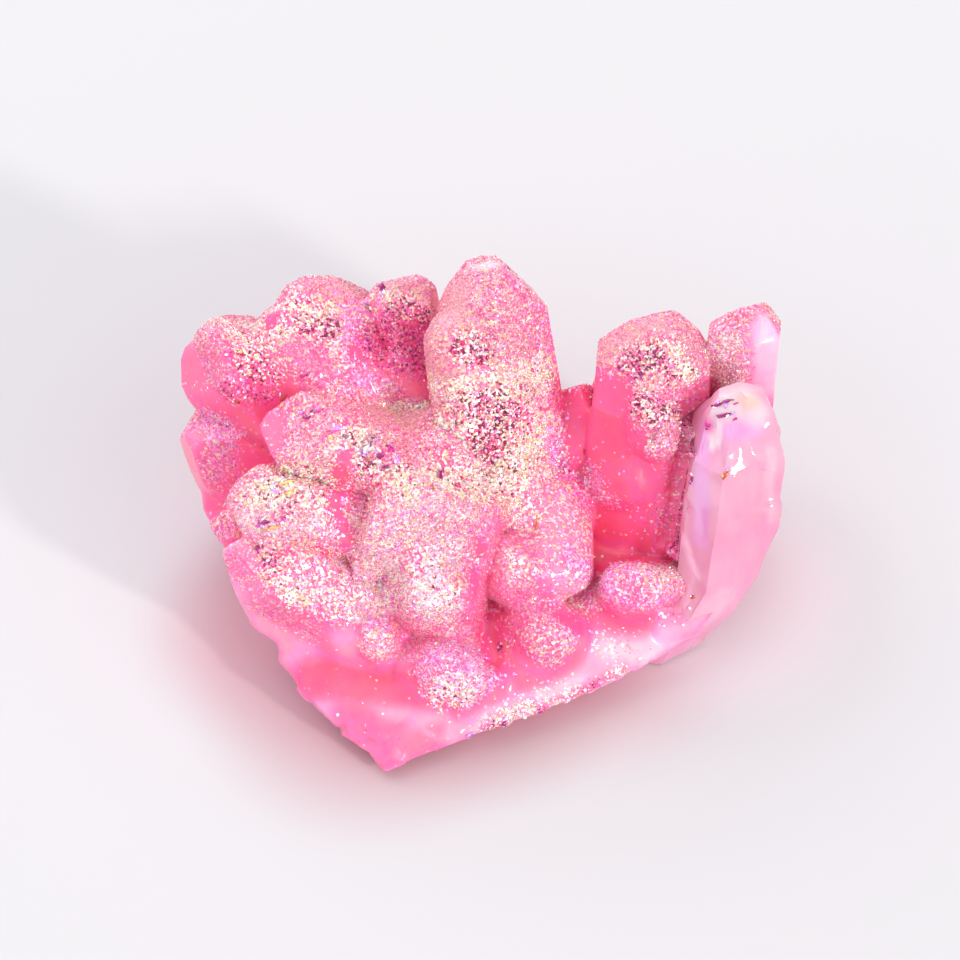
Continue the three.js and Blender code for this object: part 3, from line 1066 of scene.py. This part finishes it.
def paint_stone(points, facing, surface):
    """Every finish, first by height and by which way the skin faces, and then stroke by stroke."""
    fields = np.zeros((len(points), len(FIELDS)))
    height = points[:, 2]
    up = between(facing[:, 2], 0.15, 0.65)[:, None]
    high = between(height, 9, 13)[:, None]
    low = between(height, 5, 3)[:, None]
    # Tops take the rose druse over paler stone and sides the deeper pink of satin: partly the druse that the
    # tips carry, partly painted light on the tops and painted shade on the sides.
    side, top, foot, base = (np.array(FINISHES[finish]) for finish in ("satin", "rose", "deep", "milky"))
    top = foot + high * (top - foot)
    looks = side + up * (top - side)
    fields[:, : len(LOOKS)] = looks + low * (base - looks)
    fields[:, column("soft")] = SOFT_TOP + SOFT_MORE * between(height, 16, 10)
    fields[:, column("fill")] = FILL
    fields[:, column("broken")] = BROKEN * low[:, 0]
    for finish, radius, *rest in STROKES:
        kind = rest.pop(0) if rest[0] in AGREEMENT else "face"
        paint(fields, points, facing, surface, finish, rest, radius, kind)
    return fields


# ---------------------------------------------------------------- chips and flares

# Small flat facets of the coating: the pixel where each shows, width and length in mm, turn in degrees and
# colour.
CHIPS = (
    (268, 297, 0.8, 0.5, 20, "violet"),
    (383, 288, 0.7, 1.3, 10, "violet"),
    (368, 308, 0.7, 1.2, 25, "grey"),
    (307, 417, 0.8, 0.8, 0, "violet"),
    (440, 478, 0.6, 1.6, -15, "violet"),
    (432, 488, 0.4, 0.7, 10, "orange"),
    (508, 268, 0.7, 0.4, 30, "violet"),
    (520, 276, 0.9, 0.5, 35, "lilac"),
    (708, 425, 0.5, 0.5, 0, "magenta"),
    (718, 405, 1.4, 0.5, 25, "violet"),
    (727, 401, 1.2, 0.4, 12, "violet"),
    (725, 415, 1.6, 0.5, 15, "violet"),
    (725, 475, 0.5, 0.9, -30, "orange"),
    (733, 472, 0.9, 0.5, 10, "white"),
    (237, 402, 0.5, 0.4, 0, "orange"),
    (552, 375, 0.4, 0.5, 0, "orange"),
    (536, 527, 0.25, 1.6, -8, "orange"),
    (340, 572, 0.5, 0.3, 0, "orange"),
    (693, 597, 0.6, 0.3, 30, "orange"),
    (288, 482, 1.6, 0.3, 12, "gold"),
    (286, 474, 1.8, 0.5, 15, "violet"),
    (302, 488, 0.9, 0.5, 20, "cream"),
    (275, 490, 0.9, 0.5, -15, "lilac"),
    (372, 448, 0.9, 1.1, 10, "white"),
    (381, 455, 0.7, 1.1, -20, "violet"),
    (391, 450, 0.8, 0.8, 30, "magenta"),
    (386, 467, 0.9, 0.6, 0, "violet"),
    (398, 460, 0.6, 1.0, 15, "lilac"),
    (305, 375, 1.2, 0.3, 25, "magenta"),
    (320, 411, 1.4, 0.3, 20, "magenta"),
    (366, 452, 0.8, 1.3, -15, "white"),
    (376, 440, 0.8, 0.5, 20, "lilac"),
    (292, 492, 1.4, 0.5, 18, "gold"),
    (278, 480, 0.9, 0.4, 12, "cream"),
    (270, 528, 1.6, 0.4, 14, "gold"),
    (336, 428, 1.0, 0.5, 10, "lilac"),
    (345, 436, 0.8, 0.4, -20, "grey"),
    (330, 437, 0.6, 0.4, 0, "gold"),
    (283, 398, 0.4, 1.2, -25, "orange"),
    (263, 522, 1.3, 0.6, 5, "violet"),
    (283, 518, 0.6, 0.4, 0, "magenta"),
    (258, 548, 0.7, 0.4, 0, "violet"),
    (240, 352, 0.5, 0.3, 0, "gold"),
    (540, 712, 0.5, 0.3, 0, "magenta"),
    (470, 735, 1.2, 0.6, 15, "lilac"),
    (500, 648, 0.5, 0.7, 0, "violet"),
    (636, 378, 0.4, 0.4, 0, "violet"),
    (655, 352, 0.5, 0.4, 30, "violet"),
    (690, 452, 0.4, 0.7, 0, "violet"),
    (692, 478, 0.4, 0.7, 10, "violet"),
)
# Facets that throw the key light at the camera. They are white: painted highlights as well as real mirrors.
FLARES = (
    (537, 328), (541, 345), (547, 362), (540, 352), (528, 318), (556, 418), (563, 452), (675, 355),
    (748, 362), (570, 391), (495, 730), (525, 717), (568, 700), (585, 690), (683, 625), (690, 608),
    (640, 658), (602, 557), (582, 587), (263, 480), (338, 715), (500, 460), (515, 474), (452, 690),
    (470, 690), (430, 572), (520, 564), (300, 580), (318, 568), (668, 580), (655, 330), (228, 332),
    (262, 342),
)
CHIP_COLOURS = {
    "violet": (150, 0, 104),
    "magenta": (214, 20, 150),
    "lilac": (226, 150, 250),
    "orange": (196, 84, 40),
    "grey": (150, 110, 130),
    "gold": (250, 206, 120),
    "cream": (255, 240, 214),
    # white: the flares and the glinting chips, a painted highlight
    "white": (255, 255, 255),
}
# A chip: how many corners it has, the least and most share of its size that they reach out to, its
# thickness in mm, how much wider its foot is than its top, how high its middle stands over the skin in mm,
# and how far it leans.
CHIP_CORNERS = 5
CORNER_REACH = (0.7, 1.3)
CHIP_THICK = 0.12
CHIP_FOOT = 1.1
CHIP_HIGH = 0.04
CHIP_LEAN = 0.25
# The way that the length of a chip without a turn runs: up the picture.
CHIP_LENGTH = (0, 0.64, 0.77)
# Width in mm of the flares above. The random ones: how many, least and most width in mm, how high they
# stand over the skin in mm, how far they lean, and the stray of the tones and the height in mm from which
# on there are any.
FLARE_SIZE = 0.36
RANDOM_FLARES = 420
RANDOM_SIZES = (0.12, 0.26)
FLARE_HIGH = 0.08
FLARE_LEAN = 0.12
FLARES_FROM = 0.1
LOWEST_FLARE = 5
# Slivers near each chip: sizes as shares of the chip's, how far off they lie in pixels for each mm of the
# chip, the most that they turn from it in degrees, and their colours by the chip's.
SLIVER_SIZES = (0.3, 0.6)
SLIVER_REACH = 8
SLIVER_TURN = 40
SLIVERS = {
    "violet": ("magenta", "lilac", "white"),
    "magenta": ("lilac", "violet"),
    "lilac": ("white", "magenta"),
    "orange": ("gold", "white"),
    "grey": ("cream", "lilac"),
    "gold": ("cream", "magenta"),
    "cream": ("white", "lilac"),
    "white": ("cream", "lilac"),
}


def chip_material():
    """Mirror-bright chips; a chip's place on its map gives its colour."""
    material = bpy.data.materials.new("aura_chips")
    nodes = Nodes(material)
    colour, _ = map_places(nodes)
    stops = [(k / len(CHIP_COLOURS), tone) for k, tone in enumerate(CHIP_COLOURS.values())]
    nodes.set(
        Base_Color=nodes.ramp(colour, stops, "CONSTANT"),
        Metallic=0.4,
        Roughness=0.12,
        Coat_Weight=1.0,
        Coat_Roughness=0.04,
    )
    return material


def chip(place, facing, wide, tall, turn):
    """A thin five-cornered plate: its points and triangles."""
    across = unit(np.cross(CHIP_LENGTH, facing)[None])[0]
    along = np.cross(facing, across)
    angles = np.arange(CHIP_CORNERS) * math.tau / CHIP_CORNERS
    lean = math.radians(turn)
    uneven = rng.uniform(*CORNER_REACH, CHIP_CORNERS)
    x = wide / 2 * uneven * np.cos(angles)
    y = tall / 2 * uneven * np.sin(angles)
    x, y = x * math.cos(lean) - y * math.sin(lean), x * math.sin(lean) + y * math.cos(lean)
    rim = x[:, None] * across + y[:, None] * along
    half = facing * CHIP_THICK / 2
    points = place + np.concatenate([rim + half, rim * CHIP_FOOT - half])
    k = np.arange(CHIP_CORNERS)
    after = (k + 1) % CHIP_CORNERS
    fan = k[1:-1]
    under = k + CHIP_CORNERS
    below = after + CHIP_CORNERS
    top = np.stack([fan * 0, fan, fan + 1], 1)
    bottom = np.stack([fan * 0, fan + 1, fan], 1) + CHIP_CORNERS
    one = np.stack([under, below, after], 1)
    other = np.stack([under, after, k], 1)
    return points, np.concatenate([one, other, top, bottom])


def add_chips(eye, skin_tree, places):
    """The chips and the flares, as one joined mesh, with one more flare at each of those places."""
    names = list(CHIP_COLOURS)
    white = names.index("white")
    key = unit(np.array([KEY_WAY]))[0]
    glancing = unit((key - pixel_ray(PICTURE / 2, PICTURE / 2))[None])[0]
    rows = [(*row[:5], names.index(row[5]), None) for row in CHIPS]
    for u, v, wide, tall, turn, colour in CHIPS:
        for other in SLIVERS[colour]:
            du, dv = rng.uniform(-1, 1, 2) * (wide, tall) * SLIVER_REACH
            small = rng.uniform(*SLIVER_SIZES, 2) * (wide, tall)
            turned = turn + SLIVER_TURN * rng.random()
            rows.append((u + du, v + dv, *small, turned, names.index(other), None))
    # the flares: white, painted highlights as well as real mirrors
    rows += [(u, v, FLARE_SIZE, FLARE_SIZE, 0, white, glancing) for u, v in FLARES]
    made = []
    for u, v, wide, tall, turn, colour, facing in rows:
        place, normal, _, _ = skin_tree.ray_cast(Vector(eye), Vector(pixel_ray(u, v)))
        if place is None:
            # a sliver can lie off the stone
            continue
        normal = np.array(normal)
        if facing is None:
            normal = unit((normal + CHIP_LEAN * rng.normal(size=3))[None])[0]
            facing = normal
        made.append((*chip(np.array(place) + CHIP_HIGH * normal, facing, wide, tall, turn), colour))
    for place in places:
        wide, tall = rng.uniform(*RANDOM_SIZES, 2)
        facing = glancing + FLARE_LEAN * rng.normal(size=3)
        made.append((*chip(place, facing, wide, tall, 0), white))
    points = np.concatenate([part for part, _, _ in made])
    starts = np.cumsum([0] + [len(part) for part, _, _ in made])
    triangles = np.concatenate([part + start for (_, part, _), start in zip(made, starts)])
    piece = add_mesh("aura_chips", points, triangles, chip_material())
    across = np.concatenate([np.full(part.size, (colour + 0.5) / len(names)) for _, part, colour in made])
    nudge = np.tile([[0, 0.5], [NUDGE, 0.5], [0, 0.5 + NUDGE]], (len(triangles), 1))
    set_map(piece, across[:, None] * [1, 0] + nudge)


# ---------------------------------------------------------------- the clear crystal

# Its cross-sections, from the tip down: height, then the front left, front, front right, back right, back
# and back left corners, in mm.
CLEAR_LEVELS = (
    (25.5, ((23.5, 2.8), (25.2, 2.3), (28.0, 3.0), (27.8, 3.9), (25.6, 4.3), (23.6, 3.7))),
    (23.6, ((22.2, 0.8), (24.4, -1.6), (29.0, 0.8), (28.4, 4.6), (25.2, 5.8), (22.4, 4.0))),
    (21.5, ((21.2, -1.9), (23.8, -4.0), (29.9, -0.6), (29.0, 5.0), (25.0, 6.4), (21.4, 4.2))),
    (15.0, ((20.4, -4.7), (23.2, -6.8), (29.8, -3.4), (29.4, 2.4), (25.4, 4.6), (20.8, 1.2))),
    (9.0, ((20.0, -6.8), (22.6, -8.5), (28.4, -5.4), (28.0, 0.6), (24.6, 2.6), (20.4, -1.6))),
    (4.5, ((17.8, -8.6), (20.6, -9.9), (25.8, -7.2), (25.6, -1.6), (22.6, -0.4), (18.4, -4.0))),
    (0.3, ((15.4, -10.2), (18.6, -10.6), (22.6, -8.2), (23.0, -4.6), (21.0, -3.0), (16.0, -6.0))),
)
# Its skin: how far apart its rings are in mm, how many points they have on each side, and the least angle
# of a sharp edge in degrees.
CLEAR_STEP = 0.4
CLEAR_POINTS = 12
CLEAR_SHARP = 20
# Its ribs and the broad steps of its faces: height and size in mm, and how far they are drawn out along it.
RIBS = (0.12, 1.2, 0.06)
STEPS = (0.5, 3.0, 0.35)
# How far the other skin is sunk behind it, in mm. That skin lies right of and in front of these places, no
# further behind than this, and faces its way by this cosine.
CLEAR_SUNK = 1.6
BEHIND_RIGHT_OF = 12
BEHIND_IN_FRONT_OF = 10
BEHIND_NEAR = 2.5
BEHIND_FACES = 0.4
# Its coating: the colour all over, and strokes of other colours. The white and cream strokes over the top,
# with the lilac one across it, are painted highlights.
CLEAR_PINK = (253, 184, 212)
CLEAR_TINTS = {
    "pale": (255, 214, 228),
    "lilac": (250, 190, 248),
    "white": (255, 252, 252),
    "cream": (255, 240, 212),
    "hot": (250, 96, 168),
}
CLEAR_STROKES = (
    ("lilac", 0.9, ((703, 445), (703, 500), (700, 540))),
    ("pale", 1.6, ((720, 600), (690, 630))),
    ("pale", 0.5, ((770, 450), (771, 520))),
    ("lilac", 0.9, ((706, 428), (735, 432), (758, 425))),
    ("hot", 0.5, ((708, 424), (712, 430))),
    ("white", 0.45, ((718, 428), (718, 442))),
    ("white", 0.35, ((711, 434), (711, 448))),
    ("white", 1.4, ((722, 408), (740, 404), (756, 412))),
    ("cream", 0.7, ((742, 400), (752, 402))),
)


def clear_material():
    """Clear quartz with a breath of pink, its faces finely striated."""
    material = bpy.data.materials.new("clear_quartz")
    nodes = Nodes(material)
    veil = nodes.noise(180.0, 4.0)
    scale = (900.0, 900.0, 90.0)
    long = nodes.add("ShaderNodeMapping", in_Vector=nodes.place(), in_Scale=scale).outputs["Vector"]
    lines = nodes.add("ShaderNodeTexNoise", in_Vector=long, in_Scale=1.0, in_Detail=2.0).outputs["Fac"]
    bump = nodes.add("ShaderNodeBump", in_Strength=0.4, in_Distance=0.0001, in_Height=lines)
    tint = nodes.add("ShaderNodeAttribute", attribute_name="tint").outputs["Color"]
    cloudy = nodes.ramp(nodes.sum(veil, lines, 0.3), ((0.45, (255, 196, 220)), (0.85, (255, 255, 255))))
    colour = nodes.mix(0.6, tint, cloudy, "MULTIPLY")
    facing = nodes.add("ShaderNodeNewGeometry").outputs["Normal"]
    nodes.set(
        # a painted sheen over the colour
        Base_Color=nodes.mix(0.12, colour, nodes.sheen(facing, 0.4)),
        Roughness=nodes.sum(0.02, veil, 0.10),
        Normal=bump.outputs["Normal"],
        Transmission_Weight=0.35,
        IOR=1.54,
        Coat_Weight=0.5,
        Coat_Roughness=0.03,
    )
    return material


def clear_tints(points, normals, surface):
    """The colour of the coating at each point of the clear crystal, with its painted highlights."""
    colours = np.tile(linear(CLEAR_PINK)[:3], (len(points), 1))
    for tint, radius, pixels in CLEAR_STROKES:
        weight = stroke_weight(points, normals, surface, pixels, radius, 0.0)
        colours += weight[:, None] * (np.array(linear(CLEAR_TINTS[tint])[:3]) - colours)
    return colours


def clear_shape():
    """The points and triangles of the clear crystal, closed at both ends."""
    rings = []
    for (high, upper), (low, lower) in zip(CLEAR_LEVELS, CLEAR_LEVELS[1:]):
        upper, lower = np.array(upper), np.array(lower)
        count = max(1, round((high - low) / CLEAR_STEP))
        for part in np.arange(count) / count:
            rings.append((high + part * (low - high), upper + part * (lower - upper)))
    rings.append((CLEAR_LEVELS[-1][0], np.array(CLEAR_LEVELS[-1][1])))
    shares = np.arange(CLEAR_POINTS)[:, None] / CLEAR_POINTS
    points = []
    for height, corners in rings:
        following = np.roll(corners, -1, axis=0)
        ring = np.concatenate([a + shares * (b - a) for a, b in zip(corners, following)])
        points.append(np.column_stack([ring, np.full(len(ring), height)]))
    around = len(points[0])
    tip = len(points) * around
    last = tip - around
    points = np.concatenate([*points, [points[0].mean(0)], [points[-1].mean(0)]])
    k = np.arange(last)
    right = k - k % around + (k + 1) % around
    one = np.stack([k, k + around, right + around], 1)
    other = np.stack([k, right + around, right], 1)
    k = np.arange(around)
    right = (k + 1) % around
    top = np.stack([k, right, k * 0 + tip], 1)
    foot = np.stack([last + right, last + k, k * 0 + tip + 1], 1)
    triangles = np.concatenate([one, other, top, foot])
    web = Neighbours(len(points), triangles)
    normals = point_normals(points, triangles)
    height, size, drawn = RIBS
    rise = height * np.abs(waves(points * [1, 1, drawn], size, 9))
    height, size, drawn = STEPS
    rise += height * lumps(points * [1, 1, drawn], size, 10)
    return points + normals * web.settled(rise, 1)[:, None], triangles


def add_clear_crystal(points, triangles):
    piece = add_mesh("clear_crystal", points, triangles, clear_material())
    tints = clear_tints(points, point_normals(points, triangles), Surface(points, triangles))
    layer = piece.data.attributes.new("tint", "FLOAT_VECTOR", "POINT")
    layer.data.foreach_set("vector", tints.astype(np.float32).ravel())
    piece.data.shade_smooth()
    piece.data.set_sharp_from_angle(angle=math.radians(CLEAR_SHARP))


def behind_clear(points, normals, clear_tree):
    """1 where the skin lies just behind a face of the clear crystal, and 0 elsewhere."""
    behind = np.zeros(len(points))
    close = (points[:, 0] > BEHIND_RIGHT_OF) & (points[:, 1] < BEHIND_IN_FRONT_OF)
    for number in np.flatnonzero(close):
        _, face, _, _ = clear_tree.find_nearest(Vector(points[number]), BEHIND_NEAR)
        behind[number] = face is not None and np.array(face) @ normals[number] > BEHIND_FACES
    return behind


# ---------------------------------------------------------------- the whole scene

# How far the druse's cover strays, as a share, and over what distance in mm.
COVER_STRAY = 0.45
COVER_SIZE = 3.0
# Skin lower than this, in mm, is the flat cut that the stone rests on, and keeps its shape.
RESTING = 0.05
# Shaping: how strongly creases are filled and edges rounded, in how many rounds; and the rounds and the
# depth in mm that tell how hollow a place is.
FILL_SHARE = 0.9
SOFT_SHARE = 0.55
SOFT_ROUNDS = 26
HOLLOW_ROUNDS = 60
HOLLOW_DEPTH = 0.8
# Relief: size of its waves in mm and their shares, and the size of the lumps of a broken face in mm.
RELIEF_WAVES = ((1.6, 1.0), (0.7, 0.5))
LUMP_SIZE = 3.2
# The stone's tone, 0 deep to 1 pale: the usual one, and what is added in hollows, painted shade that makes
# them deeper pink, on ridges, painted light that makes them paler, and where a finish is pale or deep.
TONE = 0.45
PAINTED_SHADE_IN_HOLLOWS = -0.35
PAINTED_LIGHT_ON_RIDGES = 0.1
TONE_PALE = 0.30
TONE_DEEP = -0.25
# Where the druse is split into its left, right and back pieces, in mm.
DRUSE_MIDDLE = 2
DRUSE_BACK = 14

add_camera()
add_light()
add_floor()

# the CAD solid's skin in small triangles, with its finishes and forms
corners, cad_triangles = cad_solid()
surface = Surface(corners, cad_triangles)
points, triangles = tiled(corners, cad_triangles)
skin = Neighbours(len(points), triangles)
fields = paint_stone(points, point_normals(points, triangles), surface)
fields = skin.settled(fields, 3)
field = dict(zip(FIELDS, fields.T))
field["cover"] *= 1 + COVER_STRAY * waves(points, COVER_SIZE, 5)

# creases filled, edges rounded, and then how hollow each place is
free = points[:, 2] >= RESTING
points = filled(points, triangles, skin, FILL_SHARE * field["fill"] * free)
points = skin.settled(points, SOFT_ROUNDS, SOFT_SHARE * field["soft"] * free)
broad = skin.settled(points, HOLLOW_ROUNDS)
normals = point_normals(points, triangles)
hollow = np.einsum("ij,ij->i", broad - points, normals)
hollow = np.clip(skin.settled(hollow, 4) / HOLLOW_DEPTH, -1, 1)

# relief, and room for the clear crystal
rise = field["swell"] + field["broken"] * lumps(points, LUMP_SIZE, 4)
for seed, (size, share) in enumerate(RELIEF_WAVES, 1):
    rise += share * waves(points, size, seed) * field["relief"]
clear_points, clear_triangles = clear_shape()
clear_tree = BVHTree.FromPolygons(clear_points.tolist(), clear_triangles.tolist())
behind = behind_clear(points, normals, clear_tree) * between(points[:, 2], 5, 8)
rise -= CLEAR_SUNK * skin.settled(behind, 2)
points = points + normals * (rise * free)[:, None]
points[:, 2] = np.maximum(points[:, 2], 0)
normals = point_normals(points, triangles)

body = add_mesh("crystal_body", points, triangles, stone_material())
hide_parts(NODE)
# painted shade deepens the pink in hollows and painted light pales it on ridges
tone = TONE + PAINTED_SHADE_IN_HOLLOWS * hollow.clip(0) + PAINTED_LIGHT_ON_RIDGES * (-hollow).clip(0)
set_field(body.data, "tone", tone + TONE_PALE * field["pale"] + TONE_DEEP * field["deep"])
for name in ("cover", "dust", "spread", "lilac", "gloss"):
    set_field(body.data, name, field[name])
body.data.shade_smooth()

left = points[:, 0] < DRUSE_MIDDLE
back = points[:, 1] > DRUSE_BACK
grain_look = druse_material()
add_druse("druse_left", points, triangles, normals, fields, left & ~back, grain_look)
add_druse("druse_right", points, triangles, normals, fields, ~left & ~back, grain_look)
add_druse("druse_back", points, triangles, normals, fields, back, grain_look)

add_clear_crystal(clear_points, clear_triangles)

# chips on all that skin, and random white flares, painted highlights as well as real mirrors, where the
# druse is rough
all_points = np.concatenate([points, clear_points])
all_triangles = np.concatenate([triangles, clear_triangles + len(points)])
all_tree = BVHTree.FromPolygons(all_points.tolist(), all_triangles.tolist())
chance = (field["cover"] * (field["spread"] - FLARES_FROM) * (points[:, 2] > LOWEST_FLARE)).clip(0)
lit = rng.choice(len(points), RANDOM_FLARES, replace=False, p=chance / chance.sum())
add_chips(surface.eye, all_tree, points[lit] + FLARE_HIGH * normals[lit])
